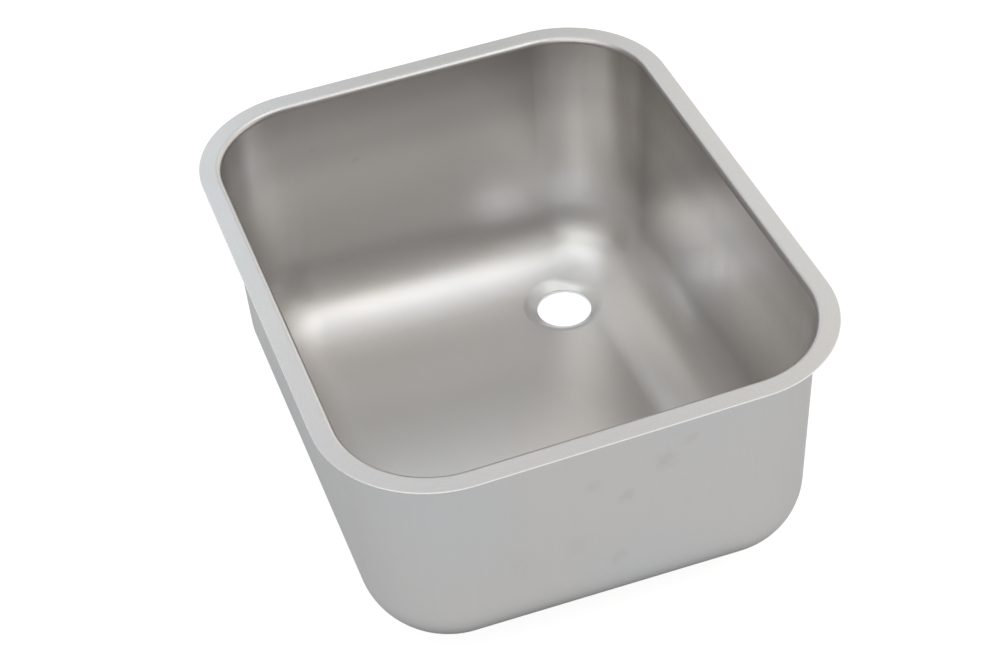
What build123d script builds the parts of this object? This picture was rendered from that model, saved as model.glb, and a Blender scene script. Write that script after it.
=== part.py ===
"""A kitchen sink bowl that hangs under a worktop, drawn in one piece from a steel sheet.

The flange lies flat against the worktop's underside. The bowl below it is one sheet: drafted
walls, a large bend round the floor, a floor that falls to the drain corner, and a dish pressed
round the drain hole, where the floor meets its bend. A sound deadening pad is stuck to the
floor's underside.

Frame, in millimetres: the origin is the middle of the flange's top face, +Z is up, X runs
across the bowl and Y along it. The drain is at the back right, towards +X and +Y.
"""
from build123d import *
import os
from math import cos, radians, tan

# ---- The sheet and its flange ----
sheet = 1.0             # thickness of the steel
rim_width = 430.0       # flange, edge to edge along X
rim_length = 520.0      # flange, edge to edge along Y
rim_corner = 98.0       # plan radius of the flange's corners
flange_width = 18.0     # edge of the flange to the outside of the wall
lip_radius = 5.0        # bend from flange to wall, on its upper side
edge_break = 0.3        # rounding of the flange's cut edge

# ---- The bowl ----
bowl_depth = 237.0      # flange top to the underside of the floor, in the bowl's middle
wall_draft = 1.4        # degrees that the walls lean in
floor_bend = 64.0       # bend from wall to floor, on its outside
floor_slope_x = 2.1     # degrees that the floor falls towards +X
floor_slope_y = 1.2     # degrees that the floor falls towards +Y

# ---- The drain ----
drain_radius = 26.0     # hole for the waste
drain_from_side = 92.0  # hole centre to the outside of the +X wall, at the flange
drain_from_back = 91.0  # hole centre to the outside of the +Y wall, at the flange
dish_depth = 5.0        # floor to the top of the hole's edge, on their upper sides
dish_slope = 30.0       # degrees that the dish falls towards the hole
dish_bend = 12.0        # bend from floor to dish, on its upper side
collar_height = 3.0     # turned-down edge of the hole, from its top
collar_bend = 1.5       # bend from dish to collar, on its upper side

# ---- The sound deadening pad ----
pad_thickness = 2.5
pad_corner = 20.0
pad_margin = 14.0       # pad edge to where the floor starts to bend up
pad_drain_gap = 9.0     # pad edge to where the floor starts to bend down into the dish

# ---- Worked out from the sizes above ----
wall_width = rim_width - 2 * flange_width
wall_length = rim_length - 2 * flange_width
wall_corner = rim_corner - flange_width
drain_x = wall_width / 2 - drain_from_side
drain_y = wall_length / 2 - drain_from_back

floor_fall_x = tan(radians(floor_slope_x))
floor_fall_y = tan(radians(floor_slope_y))
floor_plane = Plane(
    origin=(0, 0, -bowl_depth),
    x_dir=(1, 0, -floor_fall_x),
    z_dir=(floor_fall_x, floor_fall_y, 1),
)
drop_at_drain = floor_fall_x * drain_x + floor_fall_y * drain_y
drop_at_corner = floor_fall_x * wall_width / 2 + floor_fall_y * wall_length / 2
floor_at_drain = -bowl_depth + sheet - drop_at_drain
hole_top = floor_at_drain - dish_depth
dish_edge = drain_radius + dish_depth / tan(radians(dish_slope))
dish_foot = dish_edge + dish_bend * tan(radians(dish_slope / 2))

drain_axis = Axis((drain_x, drain_y, 0), (0, 0, 1))
drain_section = Plane(origin=(drain_x, drain_y, 0), x_dir=(1, 0, 0), z_dir=(0, -1, 0))


def bowl_form(inset):
    """The solid that one side of the steel wraps, set in by inset from the outside of the sheet.

    With no inset it is the outside of the bowl, and with the sheet's thickness the inside.
    """
    wall_side = sheet - inset
    slope = tan(radians(dish_slope))
    collar_radius = drain_radius + wall_side
    hole_edge = hole_top - wall_side / cos(radians(dish_slope))
    dish_top = floor_at_drain + sheet + dish_depth / 2
    dish_top_radius = drain_radius + (dish_top - hole_edge) / slope

    with BuildPart() as form:
        with BuildSketch():
            RectangleRounded(
                wall_width - 2 * inset, wall_length - 2 * inset, wall_corner - inset
            )
        extrude(amount=-(bowl_depth + drop_at_corner + sheet), taper=wall_draft)
        split(bisect_by=floor_plane.offset(inset), keep=Keep.TOP)
        fillet(form.faces().sort_by(Axis.Z)[0].edges(), floor_bend - inset)

        with BuildSketch(drain_section) as dish:
            with BuildLine():
                Polyline(
                    (0, dish_top),
                    (0, hole_top - collar_height - inset),
                    (collar_radius, hole_top - collar_height - inset),
                    (collar_radius, hole_edge + wall_side * slope),
                    (dish_top_radius, dish_top),
                    close=True,
                )
            make_face()
            fillet(dish.vertices().sort_by(Axis.Y)[2], collar_bend - wall_side)
        revolve(axis=drain_axis)
        # The dish cuts the sloping floor and the foot of its bend, so its rim is the new edge
        # that is neither a line nor a circle.
        dish_rim = form.edges(Select.NEW).filter_by(GeomType.LINE, reverse=True)
        fillet(dish_rim.filter_by(GeomType.CIRCLE, reverse=True), dish_bend - wall_side)
    return form.part


outside = bowl_form(0)
inside = bowl_form(sheet)

# ---- The bowl: one drawn sheet with its flange, dish and drain hole ----
with BuildPart() as bowl:
    with BuildSketch():
        RectangleRounded(rim_width, rim_length, rim_corner)
    extrude(amount=-sheet)
    fillet(bowl.faces().filter_by(Axis.Z).edges(), edge_break)
    add(outside)
    underside = bowl.faces().filter_by(Axis.Z).filter_by_position(Axis.Z, -sheet, -sheet)
    fillet(underside[0].inner_wires()[0].edges(), lip_radius - sheet)
    add(inside, mode=Mode.SUBTRACT)
    flange_top = bowl.faces().filter_by(Axis.Z).sort_by(Axis.Z)[-1]
    fillet(flange_top.inner_wires()[0].edges(), lip_radius)
bowl.part.label = "bowl"

# ---- The pad: a flat mat under the floor, cut back round the dish ----
wall_to_flat = bowl_depth * tan(radians(wall_draft)) + floor_bend
flat_width = wall_width - 2 * wall_to_flat
flat_length = wall_length - 2 * wall_to_flat
drain_on_floor = floor_plane.to_local_coords(Vector(drain_x, drain_y, floor_at_drain))

with BuildPart() as sound_pad:
    with BuildSketch(floor_plane) as pad_outline:
        RectangleRounded(
            flat_width - 2 * pad_margin, flat_length - 2 * pad_margin, pad_corner
        )
        with Locations((drain_on_floor.X, drain_on_floor.Y)):
            Circle(dish_foot + pad_drain_gap, mode=Mode.SUBTRACT)
    extrude(amount=-pad_thickness)
sound_pad.part.label = "sound_pad"

os.makedirs("parts", exist_ok=True)
export_step(bowl.part, "parts/bowl.step")
export_step(sound_pad.part, "parts/sound_pad.step")
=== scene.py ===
# %% [markdown]
# # The finish of a pressed sink bowl
#
# The object is a kitchen sink that hangs under a worktop. A press draws it from one sheet of
# stainless steel, 1 mm thick: flange, walls, bend, sloping floor and drain dish are all that one
# sheet. A sound deadening pad is stuck under the floor.
#
# The shape is settled before this lesson starts and comes in as a fixed frame, in metres, with
# the origin in the middle of the flange's top face. What is left is what a polisher and a
# photographer would do: give the steel its satin, make the pad, and set soft lamps round it.

# %% Load the frame
import math

import bmesh
import bpy
from mathutils import Matrix, Vector


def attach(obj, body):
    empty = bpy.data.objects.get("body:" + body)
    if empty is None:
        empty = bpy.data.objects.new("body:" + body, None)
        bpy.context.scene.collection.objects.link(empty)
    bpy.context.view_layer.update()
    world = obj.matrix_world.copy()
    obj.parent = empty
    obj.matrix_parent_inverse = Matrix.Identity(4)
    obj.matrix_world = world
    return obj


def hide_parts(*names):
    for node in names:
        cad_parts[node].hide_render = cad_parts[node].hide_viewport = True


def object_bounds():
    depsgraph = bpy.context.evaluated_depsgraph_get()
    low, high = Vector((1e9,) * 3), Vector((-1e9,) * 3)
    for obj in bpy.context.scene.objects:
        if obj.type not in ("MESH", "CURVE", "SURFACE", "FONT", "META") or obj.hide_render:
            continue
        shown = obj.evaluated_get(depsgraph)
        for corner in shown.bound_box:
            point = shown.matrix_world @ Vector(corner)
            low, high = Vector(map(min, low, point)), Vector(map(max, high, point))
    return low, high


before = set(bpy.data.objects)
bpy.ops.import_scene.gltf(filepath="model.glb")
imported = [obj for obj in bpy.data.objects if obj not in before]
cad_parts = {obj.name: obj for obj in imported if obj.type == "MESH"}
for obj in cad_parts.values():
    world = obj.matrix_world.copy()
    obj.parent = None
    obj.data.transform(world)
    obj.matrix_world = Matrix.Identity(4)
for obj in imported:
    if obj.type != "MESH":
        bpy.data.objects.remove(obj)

cad_low, cad_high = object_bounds()
print("nodes", sorted(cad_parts), "height", round(cad_high.z - cad_low.z, 4))

# %% [markdown]
# ## The view
#
# A camera can be placed by eye, or worked out from the picture. Here the rim, the inner lip and
# the drain hole give it: a long lens, 1.75 m away, looking down at 43 degrees from the front
# left. The picture is a crop, so the bowl's origin isn't in its middle. The camera is slid
# sideways for that, which keeps the lens's shift at nothing and the other views straight.

# %% Camera
picture_width = 1000
picture_height = 667
sensor_width = 36.0
focal_length_px = 2120.8
view_azimuth = -17.457
view_elevation = 42.716
view_roll = -4.273
view_distance = 1.7502
origin_px = (503.22, 232.26)


def place_camera():
    """A camera that sees the frame's origin at origin_px of the picture."""
    camera = bpy.data.objects.new("camera", bpy.data.cameras.new("camera"))
    camera.data.sensor_width = sensor_width
    camera.data.lens = sensor_width * focal_length_px / picture_width
    turn = (
        Matrix.Rotation(math.radians(view_azimuth), 4, "Z")
        @ Matrix.Rotation(math.radians(90 - view_elevation), 4, "X")
        @ Matrix.Rotation(math.radians(view_roll), 4, "Z")
    )
    metres_per_px = view_distance / focal_length_px
    slide_x = (picture_width / 2 - origin_px[0]) * metres_per_px
    slide_y = (origin_px[1] - picture_height / 2) * metres_per_px
    camera.matrix_world = turn @ Matrix.Translation((slide_x, slide_y, view_distance))
    bpy.context.scene.collection.objects.link(camera)
    bpy.context.scene.camera = camera
    return camera


camera = place_camera()
bpy.context.scene.view_settings.view_transform = "Standard"
stand = [round(v, 3) for v in camera.matrix_world.translation]
print("lens", round(camera.data.lens, 2), "mm at", stand)

# %% [markdown]
# ## Sums in a shader
#
# A finish is a drawing of numbers over a surface. Blender keeps it as nodes, and long chains of
# Math nodes are hard to read. A small class that wraps a socket and knows + - * / lets the sums
# be written as sums. Every other node comes from one method.

# %% Helpers for shader nodes
class Wire:
    """An output of a node. Sums with it add Math nodes."""

    def __init__(self, finish, socket):
        self.finish = finish
        self.socket = socket

    def maths(self, operation, first, second):
        return self.finish.node("Math", {"operation": operation}, {0: first, 1: second})

    def __add__(self, other):
        return self.maths("ADD", self, other)

    def __sub__(self, other):
        return self.maths("SUBTRACT", self, other)

    def __rsub__(self, other):
        return self.maths("SUBTRACT", other, self)

    def __mul__(self, other):
        return self.maths("MULTIPLY", self, other)

    def __truediv__(self, other):
        return self.maths("DIVIDE", self, other)

    __radd__ = __add__
    __rmul__ = __mul__


class Finish:
    """The node tree of a material or a world, with one method that adds any node."""

    colour_a, colour_b, colour_result = 6, 7, 2  # the Mix node's sockets for colours

    def __init__(self, owner):
        self.owner = owner
        owner.use_nodes = True
        self.tree = owner.node_tree
        self.tree.nodes.clear()

    def node(self, kind, settings=(), sockets=(), output=0):
        """Adds a node, sets it up, then fills or links its sockets. Gives one of its outputs."""
        made = self.tree.nodes.new("ShaderNode" + kind)
        for name, value in dict(settings).items():
            setattr(made, name, value)
        for name, value in dict(sockets).items():
            if isinstance(value, Wire):
                self.tree.links.new(value.socket, made.inputs[name])
            else:
                made.inputs[name].default_value = value
        return Wire(self, made.outputs[output] if made.outputs else None)

    def ramp(self, value, low, high):
        """0 below low, 1 above high, and a smooth step between."""
        sockets = {"Value": value, "From Min": low, "From Max": high}
        return self.node("MapRange", {"interpolation_type": "SMOOTHSTEP"}, sockets)

    def mix(self, mask, first, second):
        """The first colour where the mask is 0 and the second where it is 1."""
        sockets = {0: mask, self.colour_a: first, self.colour_b: second}
        return self.node("Mix", {"data_type": "RGBA"}, sockets, self.colour_result)

    def noise(self, place, scale, detail=2.0):
        """Smooth noise from 0 to 1, scale of its lumps to the metre."""
        sockets = {"Vector": place, "Scale": scale, "Detail": detail}
        return self.node("TexNoise", {}, sockets)

    def stretched(self, place, scale):
        """The place scaled by another number along each axis, so that noise on it runs in lines."""
        return self.node("Mapping", {}, {"Vector": place, "Scale": scale})


print("a sum reads as", "1 - mask * 0.5")

# %% [markdown]
# ## The steel
#
# The bowl has the fine satin that the rolled and pickled sheet came with. It is bare metal, so
# its whole colour is its reflection: Metallic is 1 and the base colour is the share of light
# that steel gives back, a warm grey. Roughness sets how far the reflections blur.
#
# Four things keep it from looking like plastic. The satin is a little uneven from place to
# place, in soft clouds of colour and of gloss. The mill's rollers left very fine lines. The
# press dragged the sheet down its walls, and that left faint upright streaks there. And the
# surface has a tiny grain, which a bump gives. Each is faint, because on real sheet you see it
# only in a highlight.

# %% Satin
steel_warm = (0.652, 0.629, 0.615, 1.0)
steel_cool = (0.634, 0.631, 0.627, 1.0)
satin_roughness = 0.33
cloud_scale = 9.0
drift_contrast = (0.35, 0.65)
line_scale = (420.0, 9.0, 420.0)
streak_scale = (260.0, 260.0, 7.0)
streak_top = (0.0, -0.01)  # heights between which the streaks begin
streak_foot = (0.75, 0.6)  # shares of the bowl's height between which they end
grain_scale = 850.0
grain_depth = 0.000012
cloud_roughness, line_roughness, streak_roughness = 0.10, 0.05, 0.12
line_height, streak_height = 0.5, 2.0  # in the bump, where the grain's is 1


def satin(steel, place, height):
    """Colour, roughness and grain of the sheet as the press left it."""
    clouds = steel.noise(place, cloud_scale, 3.0)
    drift = steel.noise(place, cloud_scale / 2)
    lines = steel.noise(steel.stretched(place, line_scale), 1.0)
    streaks = steel.noise(steel.stretched(place, streak_scale), 1.0)
    foot = [cad_low.z * share for share in streak_foot]
    on_wall = steel.ramp(height, *foot) * steel.ramp(height, *streak_top)
    streaks = (streaks - 0.5) * on_wall
    grain = steel.noise(place, grain_scale, 3.0)
    colour = steel.mix(steel.ramp(drift, *drift_contrast), steel_warm, steel_cool)
    roughness = (
        satin_roughness
        + (clouds - 0.5) * cloud_roughness
        + (lines - 0.5) * line_roughness
        + streaks * streak_roughness
    )
    return colour, roughness, grain + lines * line_height + streaks * streak_height


# %% [markdown]
# ## The cut edge and its painted highlight
#
# The flange was trimmed in a blanking tool, and the shears burnish the edge of the sheet. The
# thin bright line along it is a painted highlight, a strip of colour paler than any steel. The
# mask is the distance to the flange's outline, a rectangle with round corners: fold the plan into
# one quarter, measure from the corner's centre, and take the radius away. It needs no picture
# and holds on any view.

# %% Distance to the flange's outline
flange_corner = 0.098
edge_width = 0.0009


def outline_distance(steel, place):
    """How far a place is outside the flange's outline, and negative inside it."""
    half = (cad_high - cad_low) / 2
    core = (half.x - flange_corner, half.y - flange_corner, 0.0)
    plan = steel.node("VectorMath", {"operation": "MULTIPLY"}, {0: place, 1: (1.0, 1.0, 0.0)})
    folded = steel.node("VectorMath", {"operation": "ABSOLUTE"}, {0: plan})
    past = steel.node("VectorMath", {"operation": "SUBTRACT"}, {0: folded, 1: core})
    corner = steel.node("VectorMath", {"operation": "MAXIMUM"}, {0: past, 1: (0.0, 0.0, 0.0)})
    return steel.node("VectorMath", {"operation": "LENGTH"}, {0: corner}, "Value") - flange_corner


# %% [markdown]
# ## Marks and dust
#
# A bowl that has been handled isn't spotless. The outside carries a few faint fingermarks, and
# the inside a few spots where water dried. Each mark is a ball in space that touches the sheet,
# with an edge that noise breaks up: the steel there is a shade darker and a little duller. The
# flat flange also holds a film of fine dust, which shows as a speckle.

# %% Marks
mark_edge_scale = 140.0
mark_raggedness = 1.8
mark_reach = 1.1  # in radii, where a mark ends

# Place of each mark, its radius and how strong it is.
marks = (
    ((0.040, -0.240, -0.057), 0.014, 0.50),
    ((0.009, -0.239, -0.084), 0.010, 0.45),
    ((0.062, -0.241, -0.042), 0.008, 0.35),
    ((-0.020, -0.239, -0.062), 0.009, 0.35),
    ((0.000, -0.238, -0.154), 0.010, 0.35),
    ((-0.032, -0.239, -0.125), 0.014, 0.22),
    ((-0.080, -0.239, -0.128), 0.020, 0.16),
    ((-0.060, 0.238, -0.075), 0.005, 0.40),
    ((-0.100, 0.239, -0.052), 0.004, 0.40),
    ((-0.197, -0.140, 0.000), 0.010, 0.40),
)


def mark_mask(steel, place):
    """1 in the middle of a mark and 0 away from all of them."""
    ragged = (steel.noise(place, mark_edge_scale, 4.0) - 0.5) * mark_raggedness
    total = 0.0
    for centre, radius, strength in marks:
        reach = steel.node("VectorMath", {"operation": "DISTANCE"}, {0: place, 1: centre}, "Value")
        total = steel.ramp(reach / radius + ragged, mark_reach, 0.0) * strength + total
    return total


# %% Dust on the flange
flange_bottom = -0.0012
dust_scale = 420.0
dust_contrast = (0.35, 0.75)
dust_film, dust_speckle = 0.35, 0.5


def flange_dust(steel, place, height):
    """A speckled film on the flange and nothing below it."""
    specks = steel.ramp(steel.noise(place, dust_scale, 4.0), *dust_contrast)
    film = dust_film + specks * dust_speckle
    return film * steel.ramp(height, flange_bottom, flange_bottom / 2)


# %% [markdown]
# ## Painted shade and reflection on the inside walls
#
# The photograph's inside walls are darker under the lip and brighter half way down than plain
# satin gives with these lamps. The bands paint that light and shade into the steel's colour,
# where it doesn't belong: painted shade under the lip and a painted reflection half way down.
# Both colours were set by comparing renders with the photograph. Give them the steel's own
# colour, and the bands are gone. The steel is also darkened where it is seen at a flat angle, by
# a grazing tint that was set in the same way. The bend round the floor is made a little rougher,
# as stretched sheet often is, which smooths its highlight.
#
# The mask for the inside is again a distance: how far the sheet's surface lies inside the wall's
# outer face, which leans in by the draft.

# %% Bands on the inside of the wall
flange_width = 0.018
draft = math.tan(math.radians(1.4))
# Heights of the painted shade under the lip, then of the painted reflection half way down.
painted_shade_heights = (-0.050, -0.004)
painted_reflection_heights = (-0.150, -0.090, -0.050)
lip_height = (-0.006, -0.004)
lip_reach = 0.0022  # added on the lip, which curves outward from the wall
inner_face = (0.0003, 0.0007)  # depths that part the sheet's outside from its inside
bend_plan = (-0.097, -0.082)
bend_height = (-0.155, -0.185)


def inside_bands(steel, height, outside):
    """Masks for the painted shade under the lip, the painted reflection half way down and the
    stretched bend.
    """
    depth = 0.0 - outside - flange_width + height * draft
    on_lip = steel.ramp(height, *lip_height) * lip_reach
    inside = steel.ramp(depth + on_lip, *inner_face)
    painted_shade = inside * steel.ramp(height, *painted_shade_heights)
    low, middle, high = painted_reflection_heights
    painted_reflection = inside * steel.ramp(height, low, middle) * steel.ramp(height, high, middle)
    stretched = steel.ramp(outside, *bend_plan) * steel.ramp(height, *bend_height)
    return painted_shade, painted_reflection, stretched


# %% The bowl takes its steel
# Painted shade under the lip and a painted reflection half way down the inside walls.
painted_shade_colour = (0.50, 0.48, 0.468, 1.0)
painted_reflection_colour = (0.75, 0.728, 0.712, 1.0)
# The next colour is a painted highlight along the cut edge.
painted_edge_highlight = (0.96, 0.96, 0.96, 1.0)
edge_roughness = 0.36
grazing_tint = (0.85, 0.85, 0.85, 1.0)
mark_colour = (0.56, 0.54, 0.515, 1.0)
dust_colour = (0.72, 0.715, 0.712, 1.0)
dust_cover = 0.7
mark_roughness, dust_roughness, bend_roughness = 0.08, 0.06, 0.08  # added to the satin's


def sheet_steel():
    """The whole sheet: satin, with its painted shade and reflection, its marks, its dust and a
    painted highlight on its cut edge.
    """
    steel = Finish(bpy.data.materials.new("satin_steel"))
    place = steel.node("TexCoord", output="Object")
    height = steel.node("SeparateXYZ", {}, {"Vector": place}, "Z")
    outside = outline_distance(steel, place)
    colour, roughness, grain = satin(steel, place, height)
    painted_shade, painted_reflection, stretched = inside_bands(steel, height, outside)
    marked = mark_mask(steel, place)
    dusty = flange_dust(steel, place, height)
    cut = steel.ramp(outside, -edge_width, 0.0)
    # Painted shade under the lip and a painted reflection half way down the inside walls.
    colour = steel.mix(painted_shade, colour, painted_shade_colour)
    colour = steel.mix(painted_reflection, colour, painted_reflection_colour)
    colour = steel.mix(marked, colour, mark_colour)
    colour = steel.mix(dusty * dust_cover, colour, dust_colour)
    # A painted highlight along the cut edge.
    colour = steel.mix(cut, colour, painted_edge_highlight)
    roughness = (
        roughness
        + marked * mark_roughness
        + dusty * dust_roughness
        + cut * (edge_roughness - satin_roughness)
        + stretched * bend_roughness
    )
    relief = {"Strength": 1.0, "Distance": grain_depth, "Height": grain}
    sockets = {
        "Base Color": colour,
        "Metallic": 1.0,
        "Roughness": roughness,
        "Specular Tint": grazing_tint,
        "Normal": steel.node("Bump", {}, relief, "Normal"),
    }
    surface = steel.node("BsdfPrincipled", {}, sockets)
    steel.node("OutputMaterial", {}, {"Surface": surface})
    return steel.owner


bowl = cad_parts["bowl"]
bowl.data.materials.clear()
bowl.data.materials.append(sheet_steel())
print("steel has", len(bowl.data.materials[0].node_tree.nodes), "nodes")

# %% [markdown]
# ## The sound deadening pad
#
# Water drumming on a thin steel floor is loud, so makers stick a heavy rubber mat under it. The
# mat is scored into diamonds, so that it bends as it is rolled on. It could be a flat slab with
# a bump pattern, but the underside is seen from close by, so the grooves are cut for real.
#
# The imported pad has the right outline, cut back round the drain dish. A copy of it is merged,
# its flat faces are made whole again, and the underside is pressed in, scored along both
# diagonals and raised between the scores.

# %% Copy the pad's outline
def merged_copy(node):
    """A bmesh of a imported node, its triangles joined into whole flat faces."""
    shape = bmesh.new()
    shape.from_mesh(node.data)
    bmesh.ops.remove_doubles(shape, verts=shape.verts, dist=1e-6)
    bmesh.ops.dissolve_limit(
        shape, angle_limit=math.radians(1.0), verts=shape.verts, edges=shape.edges
    )
    return shape


pad_shape = merged_copy(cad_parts["sound_pad"])
underside = min(pad_shape.faces, key=lambda face: face.normal.z * face.calc_area())
down = underside.normal.copy()
print("pad slopes", round(math.degrees(down.angle(Vector((0, 0, -1)))), 2), "degrees")

# %% Score it into diamonds
groove_depth = 0.0006
groove_width = 0.0016
diamond_pitch = 0.016
smallest_diamond = (diamond_pitch / 2) ** 2


def score(shape, face, direction, pitch):
    """Cuts a face, and what it has been cut into, by lines a pitch apart."""
    pieces = [face]
    middle = face.calc_center_median()
    reach = max((vert.co - middle).length for vert in face.verts)
    for step in range(-int(reach / pitch), int(reach / pitch) + 1):
        around = {edge for piece in pieces for edge in piece.edges}
        corners = {vert for piece in pieces for vert in piece.verts}
        cut = bmesh.ops.bisect_plane(
            shape,
            geom=list(pieces) + list(around) + list(corners),
            dist=1e-6,
            plane_co=middle + direction * (step * pitch),
            plane_no=direction,
        )
        pieces = [item for item in cut["geom"] if isinstance(item, bmesh.types.BMFace)]
    return pieces


bmesh.ops.translate(pad_shape, vec=-down * groove_depth, verts=underside.verts)
across = down.cross(Vector((0, 1, 0))).normalized()
along = down.cross(across).normalized()
strips = score(pad_shape, underside, (across + along).normalized(), diamond_pitch)
diamonds = [
    diamond
    for strip in strips
    for diamond in score(pad_shape, strip, (across - along).normalized(), diamond_pitch)
]
print(len(strips), "strips and", len(diamonds), "diamonds")

# %% Raise the diamonds
raised = [face for face in diamonds if face.is_valid and face.calc_area() > smallest_diamond]
bmesh.ops.inset_individual(
    pad_shape,
    faces=raised,
    thickness=groove_width / 2,
    depth=groove_depth,
    use_even_offset=True,
)
pad_mesh = bpy.data.meshes.new("deadening_pad")
pad_shape.to_mesh(pad_mesh)
pad_shape.free()
deadening_pad = bpy.data.objects.new("deadening_pad", pad_mesh)
bpy.context.scene.collection.objects.link(deadening_pad)
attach(deadening_pad, "root")
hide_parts("sound_pad")
print(len(raised), "diamonds raised by", groove_depth * 1000, "mm")

# %% [markdown]
# ## The pad's rubber
#
# The mat is butyl rubber with a mineral filler: nearly black, dull, with pale specks of filler
# and a film of dust that a workshop floor leaves on it.

# %% Rubber
rubber_dark = (0.070, 0.070, 0.073, 1.0)
rubber_dusty = (0.150, 0.147, 0.142, 1.0)
rubber_roughness = 0.72
film_scale = 28.0
film_contrast = (0.45, 0.75)
film_cover, film_roughness = 0.6, 0.15
speck_scale = 900.0
speck_contrast = (0.66, 0.76)
speck_cover = 0.4
pore_scale = 420.0
pore_depth = 0.0002
pore_strength = 0.6


def filled_rubber():
    """Dull dark rubber, mottled and slightly dusty."""
    rubber = Finish(bpy.data.materials.new("filled_rubber"))
    place = rubber.node("TexCoord", output="Object")
    film = rubber.ramp(rubber.noise(place, film_scale, 4.0), *film_contrast)
    specks = rubber.ramp(rubber.noise(place, speck_scale, 1.0), *speck_contrast)
    pale = film * film_cover + specks * speck_cover
    pores = rubber.noise(place, pore_scale, 3.0)
    relief = {"Strength": pore_strength, "Distance": pore_depth, "Height": pores}
    sockets = {
        "Base Color": rubber.mix(pale, rubber_dark, rubber_dusty),
        "Roughness": rubber_roughness + film * film_roughness,
        "Normal": rubber.node("Bump", {}, relief, "Normal"),
    }
    surface = rubber.node("BsdfPrincipled", {}, sockets)
    rubber.node("OutputMaterial", {}, {"Surface": surface})
    return rubber.owner


deadening_pad.data.materials.append(filled_rubber())
print("rubber has", len(deadening_pad.data.materials[0].node_tree.nodes), "nodes")

# %% [markdown]
# ## The floor
#
# The bowl stands on a white sweep. Paper that is lit only by the lamps would come out grey next
# to bright steel, and more light would burn the steel out. So part of the paper's white is its
# own glow, seen by the camera and by anything that mirrors or transmits it, and the rest is
# lit, so that the bowl still has its shadow. Under the bowl the mirrored glow fades, a painted
# shadow that gives the bowl's foot its darker edge. Under the open drain hole the mirrored glow
# stays bright, a painted pool of the light that falls through. The paper's back is clear, so that
# the bowl's underside can be looked at from below.

# %% White sweep
floor_size = 12.0
floor_white = (0.25, 0.25, 0.25, 1.0)
paper_white = (1.0, 1.0, 1.0, 1.0)
paper_cool = (0.97, 1.0, 1.03, 1.0)
unlit = (0.0, 0.0, 0.0, 1.0)
glow_to_camera = 0.90
glow_to_gloss = 0.51
# A painted shadow under the bowl and a painted pool of light under the drain, both in the mirrored
# glow.
under_bowl = (-0.065, 0.0)  # from the flange's outline, where the mirrored glow fades out
drain_centre = (0.105, 0.151, cad_low.z)
under_drain = (0.07, 0.03)  # from the drain's middle, where the brighter glow begins
drain_glow = 0.97


def sweep_paper():
    """Paper that is partly its own light, to the camera, to gloss and to glass."""
    paper = Finish(bpy.data.materials.new("sweep_paper"))
    camera_ray = paper.node("LightPath", output="Is Camera Ray")
    glossy_ray = paper.node("LightPath", output="Is Glossy Ray")
    glass_ray = paper.node("LightPath", output="Is Transmission Ray")
    place = paper.node("TexCoord", output="Object")
    ends = {0: place, 1: drain_centre}
    reach = paper.node("VectorMath", {"operation": "DISTANCE"}, ends, "Value")
    beside = paper.ramp(outline_distance(paper, place), *under_bowl) * glow_to_gloss
    beneath = paper.ramp(reach, *under_drain) * drain_glow
    seen = camera_ray.maths("MAXIMUM", camera_ray, glass_ray) * glow_to_camera
    strength = seen.maths("MAXIMUM", seen, glossy_ray * beside.maths("MAXIMUM", beside, beneath))
    tint = paper.mix(strength, unlit, paper.mix(glossy_ray, paper_white, paper_cool))
    lit = paper.node("BsdfDiffuse", {}, {"Color": floor_white})
    glow = paper.node("Emission", {}, {"Color": tint, "Strength": 1.0})
    both = paper.node("AddShader", {}, {0: lit, 1: glow})
    clear = paper.node("BsdfTransparent")
    from_below = paper.node("NewGeometry", output="Backfacing")
    paper_or_clear = paper.node("MixShader", {}, {0: from_below, 1: both, 2: clear})
    paper.node("OutputMaterial", {}, {"Surface": paper_or_clear})
    return paper.owner


floor_shape = bmesh.new()
bmesh.ops.create_grid(floor_shape, x_segments=1, y_segments=1, size=floor_size / 2)
bmesh.ops.translate(floor_shape, vec=(0, 0, cad_low.z), verts=floor_shape.verts)
floor_mesh = bpy.data.meshes.new("floor")
floor_shape.to_mesh(floor_mesh)
floor_shape.free()
floor = bpy.data.objects.new("floor", floor_mesh)
floor.data.materials.append(sweep_paper())
bpy.context.scene.collection.objects.link(floor)
print("floor at", round(cad_low.z, 4))

# %% [markdown]
# ## The lamps
#
# Polished metal shows the room, so a metal object is lit by deciding what it sees. Each lamp is
# a soft box: a white panel of some width and height as the bowl sees it, in degrees, and of some
# brightness, where 1 is a white wall in good light. The long panels overhead make the highlight
# on the bend round the floor, and the low ones fill the outside walls. Their numbers come from
# fitting the render's tones to the photograph's, and are rounded, so they suit this view best.

# %% Soft boxes
lamp_distance = 4.0
bowl_middle = Vector((0, 0, (cad_low.z + cad_high.z) / 2))
cool_white = (0.95, 1.0, 1.04)
window_white = (0.91, 1.0, 1.09)
plain_white = (1.0, 1.0, 0.98)
warm_white = (1.06, 1.0, 0.95)

# Name, azimuth and elevation, half its width and half its height in degrees, brightness, colour.
soft_boxes = (
    ("overhead", 300.0, 84.5, 27.0, 30.0, 0.77, cool_white),
    ("high_right", 67.0, 61.0, 28.0, 14.0, 1.42, plain_white),
    ("high_left", 305.0, 64.5, 28.5, 10.5, 1.08, plain_white),
    ("front_left", 326.0, 35.0, 29.0, 10.5, 0.96, plain_white),
    ("left", 303.0, 37.5, 31.0, 7.5, 0.84, plain_white),
    ("right", 88.0, 22.0, 36.5, 21.5, 0.95, warm_white),
    ("back_right", 141.0, 20.0, 14.0, 29.0, 0.79, plain_white),
    ("back", 186.0, 27.0, 10.5, 16.5, 0.81, window_white),
    ("high_back", 171.5, 44.0, 9.0, 7.5, 0.90, cool_white),
)


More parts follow.
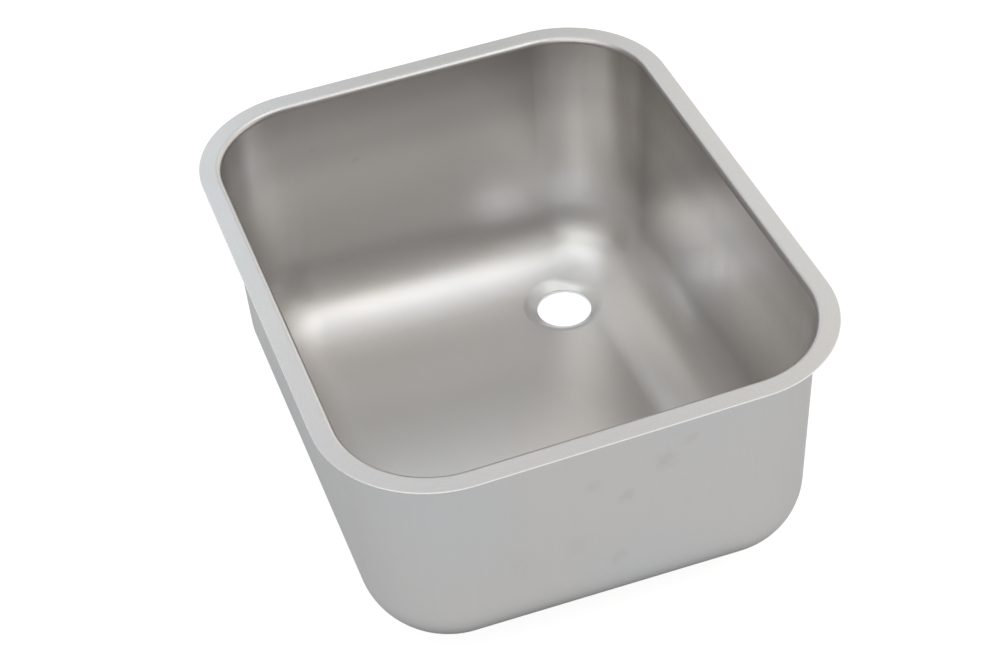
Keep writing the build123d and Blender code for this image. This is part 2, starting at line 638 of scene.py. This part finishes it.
def hang_soft_box(name, azimuth, elevation, half_width, half_height, brightness, colour):
    """A rectangular lamp that faces the bowl from a direction. Azimuth 0 is in front."""
    turn, rise = math.radians(azimuth), math.radians(elevation)
    outward = Vector(
        (math.sin(turn) * math.cos(rise), -math.cos(turn) * math.cos(rise), math.sin(rise))
    )
    panel = bpy.data.lights.new(name, "AREA")
    panel.shape = "RECTANGLE"
    panel.size = 2 * lamp_distance * math.tan(math.radians(half_width))
    panel.size_y = 2 * lamp_distance * math.tan(math.radians(half_height))
    panel.energy = brightness * math.pi * panel.size * panel.size_y
    panel.color = colour
    lamp = bpy.data.objects.new(name, panel)
    sideways = Vector((math.cos(turn), math.sin(turn), 0))
    upward = outward.cross(sideways)
    axes = Matrix((sideways, upward, outward)).transposed().to_4x4()
    lamp.matrix_world = Matrix.Translation(bowl_middle + outward * lamp_distance) @ axes
    bpy.context.scene.collection.objects.link(lamp)
    return lamp


lamps = [hang_soft_box(*soft_box) for soft_box in soft_boxes]
print(len(lamps), "soft boxes,", round(sum(lamp.data.energy for lamp in lamps)), "watts")

# %% [markdown]
# ## The room
#
# Beyond the lamps the studio is dim, which keeps dark tones in the steel. The camera sees plain
# white there, so that the backdrop has no horizon. Gloss sees that white only low down, where a
# sweep curves up behind the bowl, and the dim room above it.

# %% The room
room_brightness = 0.30
room_colour = (1.03, 1.0, 0.94, 1.0)
sweep_top = 0.14  # height of the sweep's white in the room, as the sine of its elevation


def dim_room():
    """An even grey room over a white sweep, and all white to the camera."""
    room = Finish(bpy.data.worlds.new("room"))
    camera_ray = room.node("LightPath", output="Is Camera Ray")
    glossy_ray = room.node("LightPath", output="Is Glossy Ray")
    glass_ray = room.node("LightPath", output="Is Transmission Ray")
    direction = room.node("TexCoord", output="Generated")
    rise = room.node("SeparateXYZ", {}, {"Vector": direction}, "Z")
    mirrored = glossy_ray * room.ramp(rise, sweep_top, 0.0)
    white = camera_ray.maths("MAXIMUM", camera_ray, mirrored.maths("MAXIMUM", mirrored, glass_ray))
    sky = room.node("Background", {}, {"Color": room_colour, "Strength": room_brightness})
    sweep = room.node("Background", {}, {"Color": paper_white, "Strength": 1.0})
    both = room.node("MixShader", {}, {0: white, 1: sky, 2: sweep})
    room.node("OutputWorld", {}, {"Surface": both})
    return room.owner


bpy.context.scene.world = dim_room()
print("room at", room_brightness)
